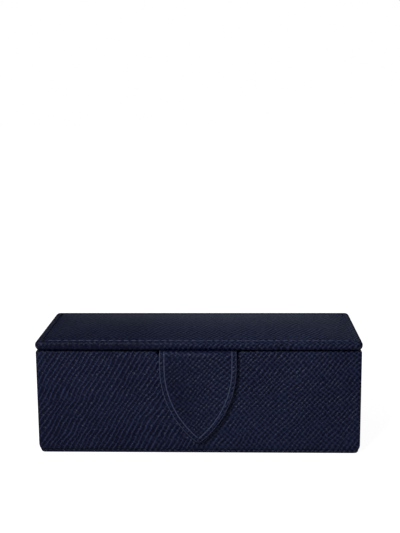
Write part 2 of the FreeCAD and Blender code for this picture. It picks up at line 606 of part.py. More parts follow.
def make_tab_blade():
    """Outer leather with a seam groove, a stiffener that holds the magnet, and a backing."""
    whole = tab_layer("tab_blank", 0, "tabFront", "leather", "bladeTop")
    wide = tab_layer("seam_outer", "seamInset - seamWidth / 2", "tabFront - past", "past + seamDepth",
                     "bladeTop + past")
    narrow = tab_layer("seam_inner", "seamInset + seamWidth / 2", "tabFront - 2 * past", "leather + 3 * past",
                       "bladeTop + 2 * past")
    keep(cut("tab_face", whole, [cut("seam_ring", wide, [narrow])]), "tab_leather")
    core_front = "tabFront + leather"
    core = tab_layer("core_blank", "coreInset", core_front, "tabCore", "bladeTop")
    hole = rod("core_hole", (0, core_front + " - past", "magnetHeight"), "magnetSeat", "tabCore + 2 * past",
               ALONG_Y)
    keep(cut("core", core, [hole]), "tab_stiffener")
    keep(rod("tab_disc", (0, core_front, "magnetHeight"), "magnetRadius", "tabCore", ALONG_Y), "tab_magnet")
    keep(tab_layer("backing", 0, "tabBack - tabBacking", "tabBacking", "bladeTop"), "tab_lining")


def make_tab_root():
    """The tab's leather bends in over the notch and is glued under the lid."""
    half = "-tabWidth / 2"
    outer = rod("fold_outer", (half, "foldY", "foldZ"), "foldRadius + tabThick", "tabWidth",
                ALONG_X_FRONT, 90)
    inner = rod("fold_inner", (half, "foldY", "foldZ"), "foldRadius", "tabWidth", ALONG_X_FRONT)
    bend = cut("fold_bend", outer, [inner])
    down = block("fold_down", (half, "tabFront", "bladeTop"), ("tabWidth", "tabThick", "foldStub"))
    over = block("fold_over", (half, "foldY", "lidBottom - tabThick"), ("tabWidth", "foldStub", "tabThick"))
    keep(combine("Fuse", "fold_whole", [bend, down, over]), "tab_fold")
    anchor_y = "foldY + foldStub"
    keep(panel("anchor_sheet", "XY", (half, anchor_y, "lidBottom - leather"),
               ("tabWidth", "tabAnchor", "leather")), "tab_anchor")
    lining_end = "-cardDepth / 2 - liningClear"
    keep(panel("anchor_backing", "XY", (half, anchor_y, "lidBottom - tabThick"),
               ("tabWidth", f"({lining_end}) - ({anchor_y})", "tabThick - leather")), "tab_anchor_lining")


def seam_points():
    """Where the tab's stitches lie, down one side to the point, with the angle of each."""
    pitch = size_of("tabStitchPitch")
    shoulder = size_of("tabShoulder")
    centre = size_of("tabArc") - size_of("tabWidth") / 2
    radius = size_of("tabArc") - size_of("seamInset")
    straight = size_of("bladeTop") - shoulder
    sweep = math.acos(centre / radius)
    count = int((straight + radius * sweep - pitch / 2) / pitch)
    for i in range(count):
        along = (i + 0.5) * pitch
        if along < straight:
            yield radius - centre, shoulder + straight - along, math.pi / 2
        else:
            turn = (along - straight) / radius
            yield radius * math.cos(turn) - centre, shoulder - radius * math.sin(turn), math.pi / 2 - turn


def stitch(middle, direction, length):
    """One stitch: a short round length of thread."""
    return Part.makeCylinder(size_of("threadRadius"), length, middle - direction * (length / 2), direction)


def thread(label, stitches):
    item = doc.addObject("Part::Feature", label)
    item.Shape = Part.makeCompound(stitches)
    item.Placement = FreeCAD.Placement()
    return keep(item, label)


def make_lid_stitching():
    """Stitches all round the groove in the lid, evenly spaced along each side."""
    pitch = size_of("stitchPitch")
    length = size_of("stitchLength")
    centre_set = size_of("borderWidth") + size_of("grooveWidth") / 2
    half_x = size_of("lidLength") / 2 - centre_set
    half_y = size_of("lidDepth") / 2 - centre_set
    height = size_of("lidTop") - size_of("grooveDepth") + size_of("threadRadius") + size_of("threadClear")
    middle = Vector(0, size_of("lidMiddle"), height)
    stitches = []
    for along, across, half, far in ((Vector(1, 0, 0), Vector(0, 1, 0), half_x, half_y),
                                     (Vector(0, 1, 0), Vector(1, 0, 0), half_y, half_x)):
        count = int(2 * (half - length) / pitch)
        for side in (-1, 1):
            for i in range(count):
                offset = (i - (count - 1) / 2) * pitch
                stitches.append(stitch(middle + along * offset + across * (side * far), along, length))
    thread("lid_stitching", stitches)


def make_tab_stitching():
    depth = size_of("tabFront") + size_of("seamDepth") - size_of("threadRadius") - size_of("threadClear")
    length = size_of("tabStitchLength")
    stitches = []
    for x, z, angle in seam_points():
        for side in (-1, 1):
            direction = Vector(side * math.cos(angle), 0, math.sin(angle))
            stitches.append(stitch(Vector(side * x, depth, z), direction, length))
    thread("tab_stitching", stitches)


def write_parts():
    doc.recompute()
    failed = [o.Label for o in doc.Objects if "Invalid" in o.State or "Error" in o.State]
    if failed:
        raise RuntimeError(f"these objects failed: {failed}")
    bad = [o.Label for o in pieces if o.Shape.isNull() or not o.Shape.isValid() or not o.Shape.Solids]
    if bad:
        raise RuntimeError(f"these pieces have no valid solid: {bad}")
    os.makedirs("parts", exist_ok=True)
    for item in pieces:
        item.Shape.exportStep(f"parts/{item.Label}.step")
        print(f"{item.Label}: {len(item.Shape.Solids)} solids, {item.Shape.Volume:.1f} mm3")


sizes, places = make_sheets()
make_base()
make_walls()
make_case_leather()
make_linings()
make_dividers()
make_ring_rolls()
make_lid()
make_lid_lining()
make_hinge()
make_lid_stitching()
make_tab_blade()
make_tab_root()
make_tab_stitching()
write_parts()
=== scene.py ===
import math

import bmesh
import bpy
from mathutils import Matrix, Vector


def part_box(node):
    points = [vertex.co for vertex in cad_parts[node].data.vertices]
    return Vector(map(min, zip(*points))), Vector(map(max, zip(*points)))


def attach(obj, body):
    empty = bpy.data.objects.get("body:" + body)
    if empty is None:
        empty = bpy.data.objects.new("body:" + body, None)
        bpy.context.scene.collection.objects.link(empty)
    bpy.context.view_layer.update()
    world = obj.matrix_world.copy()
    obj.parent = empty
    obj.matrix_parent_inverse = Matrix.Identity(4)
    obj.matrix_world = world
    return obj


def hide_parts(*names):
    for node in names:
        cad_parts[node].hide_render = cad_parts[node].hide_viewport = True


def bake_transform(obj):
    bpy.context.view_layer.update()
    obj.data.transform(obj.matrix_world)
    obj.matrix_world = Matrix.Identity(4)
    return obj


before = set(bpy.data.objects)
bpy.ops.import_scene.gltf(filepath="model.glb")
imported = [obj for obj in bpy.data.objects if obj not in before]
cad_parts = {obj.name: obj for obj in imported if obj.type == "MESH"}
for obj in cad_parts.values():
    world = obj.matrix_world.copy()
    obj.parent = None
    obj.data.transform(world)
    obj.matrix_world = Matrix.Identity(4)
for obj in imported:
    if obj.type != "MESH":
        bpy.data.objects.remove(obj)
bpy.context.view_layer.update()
mm = 0.001
tiny = 0.02 * mm


# ---- selecting and finishing, used by every piece below

def clearSelection():
    if bpy.context.object and bpy.context.object.mode != "OBJECT":
        bpy.ops.object.mode_set(mode="OBJECT")
    bpy.ops.object.select_all(action="DESELECT")


def choose(piece, mode="OBJECT"):
    clearSelection()
    piece.select_set(True)
    bpy.context.view_layer.objects.active = piece
    bpy.ops.object.mode_set(mode=mode)


def nameNew(name):
    piece = bpy.context.object
    piece.name = piece.data.name = name
    return piece


def startBox(name, low, high):
    # a box from corner to corner, left open in edit mode for shaping
    clearSelection()
    low, high = Vector(low), Vector(high)
    bpy.ops.mesh.primitive_cube_add(size=1, location=(low + high) / 2, scale=high - low)
    bpy.ops.object.transform_apply(location=True, rotation=True, scale=True)
    piece = nameNew(name)
    bpy.ops.object.mode_set(mode="EDIT")
    return piece


def startSheet(name, low, high, cutsX, cutsY):
    # a flat grid between two corners, at the first corner's height
    clearSelection()
    bpy.ops.mesh.primitive_grid_add(x_subdivisions=cutsX, y_subdivisions=cutsY, size=1)
    piece = nameNew(name)
    bpy.ops.transform.resize(value=(high[0] - low[0], high[1] - low[1], 1), center_override=(0, 0, 0))
    bpy.ops.transform.translate(value=((low[0] + high[0]) / 2, (low[1] + high[1]) / 2, low[2]))
    bpy.ops.object.transform_apply(location=True, rotation=True, scale=True)
    return piece


def closeUnder(piece, depth):
    # drops a sheet's edge by the depth and closes it underneath
    choose(piece, "EDIT")
    bpy.ops.mesh.select_mode(type="EDGE")
    bpy.ops.mesh.select_all(action="SELECT")
    bpy.ops.mesh.region_to_loop()
    bpy.ops.mesh.extrude_edges_move(TRANSFORM_OT_translate={"value": (0, 0, -depth)})
    bpy.ops.mesh.edge_face_add()


def middle(part):
    return sum((v.co for v in part.verts), Vector()) / len(part.verts)


def pick(piece, kind, test):
    # selects what passes the test, in edit mode
    bpy.ops.mesh.select_mode(type=kind)
    bpy.ops.mesh.select_all(action="DESELECT")
    work = bmesh.from_edit_mesh(piece.data)
    parts = {"VERT": work.verts, "EDGE": work.edges, "FACE": work.faces}[kind]
    chosen = [part for part in parts if test(part)]
    for part in chosen:
        part.select_set(True)
    bmesh.update_edit_mesh(piece.data)
    return len(chosen)


def spans(edge, axis):
    # true for an edge that runs along one axis only
    step = edge.verts[1].co - edge.verts[0].co
    return abs(step[axis]) > tiny and all(abs(step[i]) < tiny for i in range(3) if i != axis)


def levelAt(z):
    return lambda part: all(abs(v.co.z - z) < tiny for v in part.verts)


def bevelEdges(width, steps):
    bpy.ops.mesh.bevel(offset=width, segments=steps, affect="EDGES")


def pull(x=0, y=0, z=0):
    bpy.ops.mesh.extrude_region_move(TRANSFORM_OT_translate={"value": (x, y, z)})


def cutAt(piece, test, point, normal):
    pick(piece, "FACE", test)
    bpy.ops.mesh.bisect(plane_co=point, plane_no=normal)


def insetSquare(piece, width, cornerX, lowY, highY):
    # insets the picked face past its rounded corners, and gathers each corner to a point
    bpy.ops.mesh.inset(thickness=width)
    inner = [v.co.copy() for v in bmesh.from_edit_mesh(piece.data).verts if v.select]
    for x in (-cornerX, cornerX):
        for y in (lowY, highY):
            near = [c for c in inner if abs(c.x - x) < width and abs(c.y - y) < width]
            pick(piece, "VERT", lambda v: any((v.co - c).length < 0.001 * mm for c in near))
            bpy.ops.mesh.merge(type="CENTER")
            at = next(v.co.copy() for v in bmesh.from_edit_mesh(piece.data).verts if v.select)
            bpy.ops.transform.translate(value=(x - at.x, y - at.y, 0))
    z = inner[0].z
    pick(piece, "FACE", lambda f: len(f.verts) == 4 and levelAt(z)(f) and abs(middle(f).x) < 1 * mm
         and f.calc_area() > (highY - lowY) * cornerX)


def sinkRound(radius, steps):
    # rounds the edge of the picked face over, downwards
    for step in range(steps):
        a, b = (math.pi / 2 * i / steps for i in (step, step + 1))
        bpy.ops.mesh.inset(thickness=radius * (math.sin(b) - math.sin(a)),
                           depth=-radius * (math.cos(a) - math.cos(b)))


def addModifier(piece, kind, **settings):
    choose(piece)
    modifier = piece.modifiers.new(kind.title(), kind)
    for name, value in settings.items():
        setattr(modifier, name, value)
    bpy.ops.object.modifier_apply(modifier=modifier.name)


def faceOut(piece):
    choose(piece, "EDIT")
    bpy.ops.mesh.select_all(action="SELECT")
    bpy.ops.mesh.remove_doubles(threshold=0.001 * mm)
    bpy.ops.mesh.normals_make_consistent(inside=False)
    bpy.ops.object.mode_set(mode="OBJECT")


def shade(piece, degrees=40):
    choose(piece)
    bpy.ops.object.shade_smooth_by_angle(angle=math.radians(degrees))


def copyTo(piece, offset=(0, 0, 0), turn=None):
    # a copy with its own mesh, moved and turned in its vertices
    twin = piece.copy()
    twin.data = piece.data.copy()
    bpy.context.scene.collection.objects.link(twin)
    twin.data.transform(Matrix.Translation(offset) @ (turn or Matrix.Identity(4)))
    return twin


def joinAll(name, pieces):
    clearSelection()
    for piece in pieces:
        piece.select_set(True)
    bpy.context.view_layer.objects.active = pieces[0]
    bpy.ops.object.join()
    return nameNew(name)


air = {"pressure": 4, "quality": 6, "mass": 0.2, "frames": 20}


def puff(piece, held, rise):
    # fills a soft piece with air, keeps the held points, and scales the swelling to the wanted rise
    choose(piece)
    before = [v.co.copy() for v in piece.data.vertices]
    group = piece.vertex_groups.new(name="held")
    group.add([v.index for v in piece.data.vertices if held(v.co)], 1, "REPLACE")
    cloth = piece.modifiers.new("Cloth", "CLOTH")
    cloth.settings.quality = air["quality"]
    cloth.settings.mass = air["mass"]
    cloth.settings.use_pressure = True
    cloth.settings.uniform_pressure_force = air["pressure"]
    cloth.settings.effector_weights.gravity = 0
    cloth.settings.vertex_group_mass = "held"
    cloth.collision_settings.use_collision = False
    for step in range(1, air["frames"] + 1):
        bpy.context.scene.frame_set(step)
    bpy.ops.object.modifier_apply(modifier="Cloth")
    bpy.context.scene.frame_set(1)
    moves = [v.co - b for v, b in zip(piece.data.vertices, before)]
    share = rise / max(max(m.length for m in moves), tiny)
    print("   ", piece.name, "swelled", round(max(m.length for m in moves) / mm, 2), "mm, set to", rise / mm)
    for vertex, start, move in zip(piece.data.vertices, before, moves):
        vertex.co = start + move * share
    piece.vertex_groups.clear()


def place(piece, body, slot, *nodes):
    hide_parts(*nodes)
    if body:
        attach(piece, body)


# ---- materials

def colour(code):
    # sRGB hex to the linear values that sockets take
    parts = [int(code[i:i + 2], 16) / 255 for i in (1, 3, 5)]
    return (*[c / 12.92 if c < 0.04045 else ((c + 0.055) / 1.055) ** 2.4 for c in parts], 1)


def addNode(tree, kind, settings=None, inputs=None):
    node = tree.nodes.new("ShaderNode" + kind)
    for name, value in (settings or {}).items():
        setattr(node, name, value)
    for name, value in (inputs or {}).items():
        if isinstance(value, bpy.types.NodeSocket):
            tree.links.new(value, node.inputs[name])
        else:
            node.inputs[name].default_value = value
    return node


def newMaterial(name):
    material = bpy.data.materials.new(name)
    material.use_nodes = True
    tree = material.node_tree
    tree.nodes.clear()
    shader = addNode(tree, "BsdfPrincipled")
    out = addNode(tree, "OutputMaterial", None, {"Surface": shader.outputs[0]})
    out.location = (400, 0)
    coords = addNode(tree, "TexCoord")
    # one unit of every pattern below is a millimetre of the object
    inMm = addNode(tree, "Mapping", None, {"Vector": coords.outputs["Object"], "Scale": (1000, 1000, 1000)})
    return material, tree, shader, inMm.outputs[0]


grain = {
    # the valley colour is painted shade and the crest colour a painted highlight, both over the navy dye
    "valleyShade": "#060c36", "crestHighlight": "#424e7c",
    # mm from line to line, which way the lines follow each other, and how sharp they are
    "ridges": (2.0, (-0.85, 0.4, 0.53), 2.6), "fineRidges": (1.6, (-0.74, 0.55, 0.67), 1.8),
    "counter": (1.6 * 1.08, (0.7, 0.6, 0.71), 1.8), "creases": (1.3, (0.5, -0.4, 0.87), 1.5),
    "pebble": 1.3, "pebbleSoft": 0.3,
    "sway": (0.045, 2.4), "jitter": (0.45, 0.45),       # waves to a mm, and mm that the lines wander
    "patch": 0.28, "uneven": (0.55, 1.15),                # how the ridges come and go
    # from where to where, in mm across, the bold ridges fade out and the fine ones come in
    "boldSpan": (-30.0, 30.0), "boldLeft": 0.18, "fineSpan": (-40.0, 25.0), "fineLeft": 0.35,
    "creaseShare": 0.2, "counterShare": 0.8, "hatchShare": 0.7, "pebbleShare": -0.5,
    "toneLow": -0.05, "toneHigh": 1.0, "worn": 0.035, "wornTone": (-0.06, 0.08),
    "glossLow": -0.2, "glossHigh": 1.0, "rough": 0.52, "polished": 0.32,
    "bumpMm": 0.4, "ior": 1.38,
}


def crossGrainCalf(name, bold, fine):
    # Cross-grain calf, dyed navy and boarded by hand: long ridges that catch the light along
    # their crests, crossed by finer creases, over a small pebble. Semi-matt, crests a little polished.
    # Its colour follows the height: painted shade in the valleys, painted highlight on the crests.
    material, tree, shader, spot = newMaterial(name)
    bent = spot
    for scale, reach in (grain["sway"], grain["jitter"]):
        noise = addNode(tree, "TexNoise", None, {"Vector": spot, "Scale": scale, "Detail": 2.0})
        centred = addNode(tree, "VectorMath", {"operation": "SUBTRACT"},
                          {0: noise.outputs["Color"], 1: (0.5, 0.5, 0.5)})
        bent = addNode(tree, "VectorMath", {"operation": "MULTIPLY_ADD"},
                       {0: centred.outputs[0], 1: (reach * 2, reach * 2, reach * 2), 2: bent}).outputs[0]

    def lines(pitch, direction, sharp):
        along = addNode(tree, "VectorMath", {"operation": "DOT_PRODUCT"},
                        {0: bent, 1: Vector(direction).normalized() * (2 * math.pi / pitch)})
        wave = addNode(tree, "Math", {"operation": "SINE"}, {0: along.outputs["Value"]})
        half = addNode(tree, "Math", {"operation": "MULTIPLY_ADD"}, {0: wave.outputs[0], 1: 0.5, 2: 0.5})
        return addNode(tree, "Math", {"operation": "POWER"}, {0: half.outputs[0], 1: sharp}).outputs[0]

    ridges, fineRidges, counter, creases = (
        lines(*grain[row]) for row in ("ridges", "fineRidges", "counter", "creases"))
    patch = addNode(tree, "TexNoise", None, {"Vector": spot, "Scale": grain["patch"], "Detail": 1.0})
    uneven = addNode(tree, "MapRange", None,
                     {"Value": patch.outputs["Fac"], "From Min": 0.3, "From Max": 0.7,
                      "To Min": grain["uneven"][0], "To Max": grain["uneven"][1]})
    pebble = addNode(tree, "TexVoronoi", {"feature": "SMOOTH_F1"},
                     {"Vector": bent, "Scale": 1 / grain["pebble"], "Smoothness": grain["pebbleSoft"]})
    # the boarding is boldest on the left and gets finer to the right, as hides do
    across = addNode(tree, "SeparateXYZ", None, {"Vector": spot})
    boldHere = addNode(tree, "MapRange", {"interpolation_type": "SMOOTHSTEP"},
                       {"Value": across.outputs["X"],
                        "From Min": grain["boldSpan"][0], "From Max": grain["boldSpan"][1],
                        "To Min": bold, "To Max": bold * grain["boldLeft"]})
    fineHere = addNode(tree, "MapRange", {"interpolation_type": "SMOOTHSTEP"},
                       {"Value": across.outputs["X"],
                        "From Min": grain["fineSpan"][0], "From Max": grain["fineSpan"][1],
                        "To Min": fine * grain["fineLeft"], "To Max": fine})
    main = addNode(tree, "Math", {"operation": "MULTIPLY"}, {0: ridges, 1: boldHere.outputs[0]})
    main = addNode(tree, "Math", {"operation": "MULTIPLY"}, {0: main.outputs[0], 1: uneven.outputs[0]})
    hatch = addNode(tree, "Math", {"operation": "MULTIPLY_ADD"},
                    {0: counter, 1: grain["counterShare"], 2: fineRidges})
    hatch = addNode(tree, "Math", {"operation": "MULTIPLY"}, {0: hatch.outputs[0], 1: fineHere.outputs[0]})
    creased = addNode(tree, "Math", {"operation": "MULTIPLY_ADD"},
                      {0: creases, 1: grain["creaseShare"], 2: main.outputs[0]})
    woven = addNode(tree, "Math", {"operation": "MULTIPLY_ADD"},
                    {0: hatch.outputs[0], 1: grain["hatchShare"], 2: creased.outputs[0]})
    pebbled = addNode(tree, "Math", {"operation": "MULTIPLY_ADD"},
                      {0: pebble.outputs["Distance"], 1: grain["pebbleShare"], 2: woven.outputs[0]})
    height = pebbled.outputs[0]
    # the colour follows the height: painted shade down in the valleys, painted highlight up on the crests
    tone = addNode(tree, "MapRange", None,
                   {"Value": height, "From Min": grain["toneLow"], "From Max": grain["toneHigh"]})
    worn = addNode(tree, "TexNoise", None, {"Vector": spot, "Scale": grain["worn"], "Detail": 2.0})
    wornTone = addNode(tree, "MapRange", None,
                       {"Value": worn.outputs["Fac"], "From Min": 0.3, "From Max": 0.7,
                        "To Min": grain["wornTone"][0], "To Max": grain["wornTone"][1]})
    blend = addNode(tree, "Math", {"operation": "ADD", "use_clamp": True},
                    {0: tone.outputs[0], 1: wornTone.outputs[0]})
    colourRamp = addNode(tree, "ValToRGB", None, {"Fac": blend.outputs[0]})
    colourRamp.color_ramp.elements[0].color = colour(grain["valleyShade"])
    colourRamp.color_ramp.elements[1].color = colour(grain["crestHighlight"])
    gloss = addNode(tree, "MapRange", None,
                    {"Value": height, "From Min": grain["glossLow"], "From Max": grain["glossHigh"],
                     "To Min": grain["rough"], "To Max": grain["polished"]})
    bump = addNode(tree, "Bump", None, {"Height": height, "Strength": 1.0, "Distance": grain["bumpMm"] * mm})
    for socket, value in (("Base Color", colourRamp.outputs[0]), ("Roughness", gloss.outputs[0]),
                          ("Normal", bump.outputs[0])):
        tree.links.new(value, shader.inputs[socket])
    shader.inputs["IOR"].default_value = grain["ior"]
    return material


def mottledFinish(name, dark, light, pitch, roughness, bumpMm, sheen=0.0, metal=0.0):
    # a mottled surface with a fine bump, at the pitch given in mm
    material, tree, shader, spot = newMaterial(name)
    fineNoise = addNode(tree, "TexNoise", None,
                        {"Vector": spot, "Scale": 1 / pitch, "Detail": 4.0, "Roughness": 0.65})
    broad = addNode(tree, "TexNoise", None, {"Vector": spot, "Scale": 0.06, "Detail": 2.0})
    both = addNode(tree, "Math", {"operation": "MULTIPLY_ADD"},
                   {0: broad.outputs["Fac"], 1: 0.6, 2: fineNoise.outputs["Fac"]})
    tone = addNode(tree, "MapRange", None, {"Value": both.outputs[0], "From Min": 0.5, "From Max": 1.15})
    colourRamp = addNode(tree, "ValToRGB", None, {"Fac": tone.outputs[0]})
    colourRamp.color_ramp.elements[0].color = colour(dark)
    colourRamp.color_ramp.elements[1].color = colour(light)
    bump = addNode(tree, "Bump", None, {"Height": fineNoise.outputs["Fac"], "Strength": 0.8,
                                        "Distance": bumpMm * mm})
    tree.links.new(colourRamp.outputs[0], shader.inputs["Base Color"])
    tree.links.new(bump.outputs[0], shader.inputs["Normal"])
    shader.inputs["Roughness"].default_value = roughness
    shader.inputs["Metallic"].default_value = metal
    shader.inputs["Sheen Weight"].default_value = sheen
    shader.inputs["Sheen Roughness"].default_value = 0.45
    return material


caseCalf = crossGrainCalf("navyCrossGrainCalfBold", 1.0, 0.8)
fineCalf = crossGrainCalf("navyCrossGrainCalfFine", 0.25, 0.9)
# Edge paint, brushed on and buffed: a thin smooth line, a little lighter than the leather;
# its lighter colour is a painted highlight along the tab's edges. It also runs in the crease
# of the tab's seam, where it covers most of the stitches and is a painted highlight in the crease.
edgePaintAndHighlight = mottledFinish("navyEdgePaintPaintedHighlight", "#4a5376", "#66709a", 0.8, 0.4, 0.01)
# Split-calf backing, dyed through and ironed smooth: matt, with a faint fibre mottle.
backingCalf = mottledFinish("navyIronedSplitCalf", "#141a2e", "#222a44", 0.8, 0.6, 0.04)
# Pigskin suede, brushed: a soft light nap that brightens at its edges.
suede = mottledFinish("slateBrushedSuede", "#3f4d66", "#5b6c88", 0.5, 0.92, 0.08, sheen=0.5)
# Linen thread, waxed and dyed: slightly shiny twisted strands.
thread = mottledFinish("navyWaxedLinenThread", "#535e84", "#7f8ab0", 0.25, 0.5, 0.05)
# Black millboard, pressed and sanded: matt, faintly flecked, a dark line wherever a board's edge shows.
board = mottledFinish("blackPressedMillboard", "#10131c", "#1c2030", 0.6, 0.85, 0.03)
# Open-cell polyurethane foam, cut: matt and pitted.
foam = mottledFinish("charcoalOpenCellFoam", "#3b3c40", "#5a5b60", 0.5, 0.95, 0.2)
# Neodymium disc, nickel plated: bright, with a fine turned grain.
nickel = mottledFinish("nickelPlatedMagnet", "#a9a7a2", "#c6c4be", 0.4, 0.28, 0.004, metal=1.0)
print("materials made")


# ---- case: one leather skin over the boards, turned in at the rim

wrapSizes = {
    "corner": 1.6 * mm, "rimRound": 0.8 * mm, "innerRound": 0.4 * mm,
    "rimWidth": 3.7 * mm, "turnIn": 9.0 * mm, "sheet": 0.38 * mm,
    "backOpening": 73.7 * mm,      # half width of the gap that the hinge leather fills
    "notchFloor": 50.1 * mm, "notchHalf": 19.6 * mm, "notchRound": 2.1 * mm,
    "footHeight": 4.6 * mm, "footIn": 3.4 * mm,   # how the skin rolls under to the base
    "footLevels": (4.2, 3.6, 3.0, 2.5), "footEdge": 2.1 * mm,
    "footTurn": 1.3 * mm, "footClear": 0.03 * mm, "wallAt": 27.5 * mm, "rimBand": 1.2 * mm, "dipSteps": 6,
}


def footRoll(z):
    s = wrapSizes
    share = max(0.0, (s["footHeight"] - z) / s["footHeight"])
    return s["footIn"] * (1 - math.sqrt(1 - share * share))


def makeCaseWrap():
    s = wrapSizes
    low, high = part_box("case_leather")
    piece = startBox("caseWrap", low, high)
    pick(piece, "EDGE", lambda e: spans(e, 2))
    bevelEdges(s["corner"], 6)
    pick(piece, "EDGE", levelAt(high.z))
    bevelEdges(s["rimRound"], 4)
    pick(piece, "FACE", levelAt(low.z))
    bpy.ops.mesh.delete(type="FACE")
    pick(piece, "FACE", levelAt(high.z))
    flat = s["rimWidth"] - s["rimRound"] - s["innerRound"]
    inner = (high.x - s["rimWidth"] + s["innerRound"], low.y + s["rimWidth"] - s["innerRound"],
             high.y - s["rimWidth"] + s["innerRound"])
    insetSquare(piece, flat, *inner)
    sinkRound(s["innerRound"], 3)
    pull(z=s["innerRound"] - s["turnIn"])
    bpy.ops.mesh.delete(type="FACE")
    # the rim dips at the front for the tab
    front = lambda f: middle(f).y < -s["wallAt"]
    back = lambda f: middle(f).y > s["wallAt"]
    shoulder = s["notchHalf"] + s["notchRound"]
    dips = []
    for step in range(s["dipSteps"] + 1):
        turn = math.pi / 2 * step / s["dipSteps"]
        dips.append((shoulder - s["notchRound"] * math.cos(turn),
                     high.z - s["notchFloor"] - s["notchRound"] * math.sin(turn)))
    for x, drop in dips:
        for side in (-1, 1):
            cutAt(piece, front, (side * x, 0, 0), (1, 0, 0))
    for x, drop in dips:
        pick(piece, "VERT", lambda v: v.co.y < -s["wallAt"] and v.co.z > high.z - s["rimBand"]
             and abs(abs(v.co.x) - x) < tiny)
        bpy.ops.transform.translate(value=(0, 0, -drop))
    # the hinge leather takes the middle of the back
    for side in (-1, 1):
        cutAt(piece, back, (side * s["backOpening"], 0, 0), (1, 0, 0))
    pick(piece, "FACE", lambda f: back(f) and abs(middle(f).x) < s["backOpening"])
    bpy.ops.mesh.delete(type="FACE")
    # the foot rolls in to meet the base
    for level in s["footLevels"]:
        cutAt(piece, lambda f: True, (0, 0, level * mm), (0, 0, 1))
    pick(piece, "VERT", lambda v: abs(v.co.z - low.z) < tiny)
    bpy.ops.transform.translate(value=(0, 0, s["footEdge"] - low.z))
    for level in (*[v * mm for v in s["footLevels"]], s["footEdge"]):
        pick(piece, "VERT", lambda v: abs(v.co.z - level) < tiny)
        inward = footRoll(level)
        bpy.ops.transform.resize(value=(1 - inward / high.x, 1 - inward / high.y, 1),
                                 center_override=(0, 0, 0))
    pick(piece, "EDGE", levelAt(s["footEdge"]))
    bpy.ops.mesh.extrude_edges_move()
    bpy.ops.transform.resize(value=(1 - s["footTurn"] / high.x, 1 - s["footTurn"] / high.y, 1),
                             center_override=(0, 0, 0))
    bpy.ops.transform.translate(value=(0, 0, low.z - s["footEdge"] + s["footClear"]))
    faceOut(piece)
    addModifier(piece, "SOLIDIFY", thickness=s["sheet"], offset=-1)
    shade(piece)
    piece.data.materials.append(caseCalf)
    place(piece, "case", "outer_leather", "case_leather")


makeCaseWrap()
print("case skin made")


# ---- base: a leather-covered board, a little in from the case

baseSizes = {"corner": 2.4 * mm, "underRound": 1.1 * mm, "topRound": 0.3 * mm,
             "wall": 0.5 * mm, "tray": 1.0 * mm}


def makeBaseCover():
    s = baseSizes
    low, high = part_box("base_leather")
    piece = startBox("baseCover", low, high)
    pick(piece, "EDGE", lambda e: spans(e, 2))
    bevelEdges(s["corner"], 6)
    pick(piece, "EDGE", levelAt(low.z))
    bevelEdges(s["underRound"], 5)
    pick(piece, "EDGE", levelAt(high.z))
    bevelEdges(s["topRound"], 2)
    pick(piece, "FACE", levelAt(high.z))
    bpy.ops.mesh.inset(thickness=s["wall"])
    pull(z=-s["tray"])
    faceOut(piece)
    shade(piece)
    piece.data.materials.append(fineCalf)
    place(piece, "case", "outer_leather", "base_leather")


makeBaseCover()


# ---- hinge leather: up the back, round the hinge and in under the lid

hingeSizes = {"axis": (0, 30.3 * mm, 51.1 * mm), "stub": 0.6 * mm, "steps": 8, "side": 0.15 * mm,
              "straightTo": 5.0 * mm, "footLevels": (4.0 * mm, 3.2 * mm, 2.6 * mm)}


def makeBackHinge():
    s = hingeSizes
    low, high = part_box("back_leather")
    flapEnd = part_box("hinge_flap")[0].y
    piece = startBox("backHinge", low, high)
    pick(piece, "FACE", levelAt(high.z))
    pull(z=s["stub"])
    bpy.ops.mesh.spin(steps=s["steps"], angle=-math.pi / 2, center=s["axis"], axis=(1, 0, 0))
    pull(y=flapEnd - s["axis"][1])
    for level in (s["straightTo"], *s["footLevels"]):
        cutAt(piece, lambda f: True, (0, 0, level), (0, 0, 1))
    for level in (*s["footLevels"], low.z):
        pick(piece, "VERT", lambda v: abs(v.co.z - level) < tiny and v.co.y > high.y - tiny)
        bpy.ops.transform.translate(value=(0, -footRoll(level), 0))
    faceOut(piece)
    addModifier(piece, "BEVEL", width=s["side"], segments=2, limit_method="ANGLE")
    shade(piece)
    piece.data.materials.append(caseCalf)
    place(piece, None, "outer_leather", "back_leather", "hinge_fold", "hinge_flap")
    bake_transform(piece)


makeBackHinge()
print("hinge leather made")


# ---- lid: bullnose edge, flat border, groove, and a padded top

lidSizes = {
    "corner": 2.6 * mm, "topRound": 1.8 * mm, "underRound": 2.3 * mm,
    "thick": 4.6 * mm, "border": 3.1 * mm, "groove": 0.7 * mm, "frontGroove": 1.2 * mm, "pocket": 0.85 * mm,
    "lip": 0.22 * mm, "turnUnder": 9.9 * mm, "window": 0.9 * mm,
    "cuts": (100, 2), "cutIn": 2.4 * mm, "cutUp": 0.3 * mm,
    "pucker": 0.2 * mm, "puckerPitch": 3.7 * mm, "puckerIn": 1.6 * mm, "puckerLeft": 1.25, "puckerLess": 0.5,
    "fadeReach": 1.15, "fadePower": 1.5, "uneven": 0.45, "unevenWaves": (311, 117),
    "pillowCells": (96, 36), "pillowSkirt": 0.6 * mm,
    "rise": 2.45 * mm, "padEdge": 56.95 * mm, "padRound": 0.45 * mm,
}


